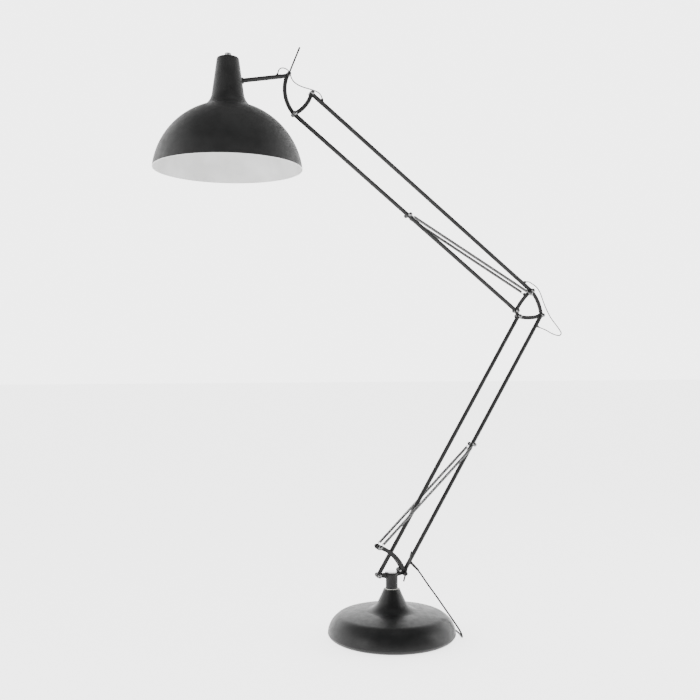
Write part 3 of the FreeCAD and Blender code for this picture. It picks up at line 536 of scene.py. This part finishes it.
def hook(name, pin, inward, side, from_side):
    """From the coil's wire in to its axis, straight to the pin and most of the way round it."""
    points = []
    for distance, out in LEAD_IN:
        points.append(pin + inward * distance + from_side * (SPRING_RADIUS * out))
    for degrees in range(HOOK_START, HOOK_END, HOOK_STEP):
        turn = math.radians(degrees)
        points.append(pin + (inward * math.cos(turn) + side * math.sin(turn)) * HOOK_RADIUS)
    return tube(name, smooth_line(points, resolution=4), WIRE, spring_steel, sides=8)


def spring(name, node, anchor, catch, fixed_body, moving_body):
    """A close-wound spring between two pins, with a hook round each."""
    reach = (catch - anchor).length
    way = (catch - anchor).normalized()
    side = way.cross(ACROSS).normalized()
    line = wound(anchor + way * END, way, side, ACROSS, reach - 2 * END)
    coil = tube(name + "_coil", line, WIRE, spring_steel, sides=6)
    from_last = (line[-1] - (catch - way * END)).normalized()
    near = hook(name + "_hook_fixed", anchor, way, side, side)
    far = hook(name + "_hook_moving", catch, way * -1, side, from_last)
    for piece in (coil, near, far):
        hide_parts(node)
    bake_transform(coil)
    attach(near, fixed_body)
    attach(far, moving_body)


for suffix, offset in SIDES:
    for arm, fixed_body, moving_body, bending in ARMS:
        spring(
            f"{arm}_coil_{suffix}",
            f"{arm}_spring_{suffix}",
            centre(arm + "_anchor_pin") + ACROSS * offset,
            centre(arm + "_catch_pin") + ACROSS * offset,
            fixed_body,
            moving_body,
        )


# ---------------------------------------------------------------- stage, light and camera


FLOOR_REACH = 30

# The room's strength along two axes, multiplied: from a dim side in front to a bright backdrop
# behind, and from full strength at eye level to a dark ceiling.
FADES = {
    "Y": {"From Min": -0.6, "From Max": 0.5, "To Min": 0.5, "To Max": 4.5},
    "Z": {"From Min": 0.35, "From Max": 0.8, "To Min": 1, "To Max": 0.15},
}

FOCAL_LENGTH = 47.73
SENSOR_WIDTH = 36
SHIFT_UP = 0.014
CAMERA_PLACE = (-0.932, -2.595, 0.823)
CAMERA_HEADING = -17.18


def make_floor():
    mesh = bpy.data.meshes.new("floor")
    reach = FLOOR_REACH
    corners = [(-reach, -reach, 0), (reach, -reach, 0), (reach, reach, 0), (-reach, reach, 0)]
    mesh.from_pydata(corners, [], [(0, 1, 2, 3)])
    look = Look("pale_floor", grey(0.9), 0.9, Emission_Strength=2.8, Specular_IOR_Level=0.1)
    look.shader.inputs["Emission Color"].default_value = (1, 1, 1, 1)
    mesh.materials.append(look.material)
    floor = bpy.data.objects.new("floor", mesh)
    bpy.context.scene.collection.objects.link(floor)


def make_world():
    world = bpy.data.worlds.new("studio")
    world.use_nodes = True
    tree = world.node_tree
    background = tree.nodes["Background"]
    background.inputs["Color"].default_value = (1, 1, 1, 1)
    place = tree.nodes.new("ShaderNodeTexCoord")
    parts = tree.nodes.new("ShaderNodeSeparateXYZ")
    tree.links.new(place.outputs["Generated"], parts.inputs["Vector"])
    both = tree.nodes.new("ShaderNodeMath")
    both.operation = "MULTIPLY"
    for socket, (axis, ends) in zip(both.inputs, FADES.items()):
        fade = tree.nodes.new("ShaderNodeMapRange")
        fade.interpolation_type = "SMOOTHSTEP"
        for end, value in ends.items():
            fade.inputs[end].default_value = value
        tree.links.new(parts.outputs[axis], fade.inputs["Value"])
        tree.links.new(fade.outputs["Result"], socket)
    tree.links.new(both.outputs["Value"], background.inputs["Strength"])
    bpy.context.scene.world = world


def soft_light(name, place, target, width, height, power):
    data = bpy.data.lights.new(name, "AREA")
    data.shape = "RECTANGLE"
    data.size = width
    data.size_y = height
    data.energy = power
    light = bpy.data.objects.new(name, data)
    light.location = place
    light.rotation_euler = (Vector(target) - Vector(place)).to_track_quat("-Z", "Y").to_euler()
    bpy.context.scene.collection.objects.link(light)


def make_camera():
    data = bpy.data.cameras.new("camera")
    data.lens = FOCAL_LENGTH
    data.sensor_width = SENSOR_WIDTH
    data.shift_y = SHIFT_UP
    camera = bpy.data.objects.new("camera", data)
    camera.location = CAMERA_PLACE
    camera.rotation_euler = (math.radians(90), 0, math.radians(CAMERA_HEADING))
    bpy.context.scene.collection.objects.link(camera)
    bpy.context.scene.camera = camera


make_floor()
make_world()
soft_light("overhead", (0, -0.6, 3.6), (0, 0, 0.2), width=1.6, height=1.6, power=10)
soft_light("right", (2.7, -0.9, 1.1), (0, 0, 0.5), width=0.9, height=2.2, power=50)
soft_light("left", (-2.8, -0.9, 0.8), (0, 0, 0.2), width=0.9, height=1.5, power=32)
make_camera()
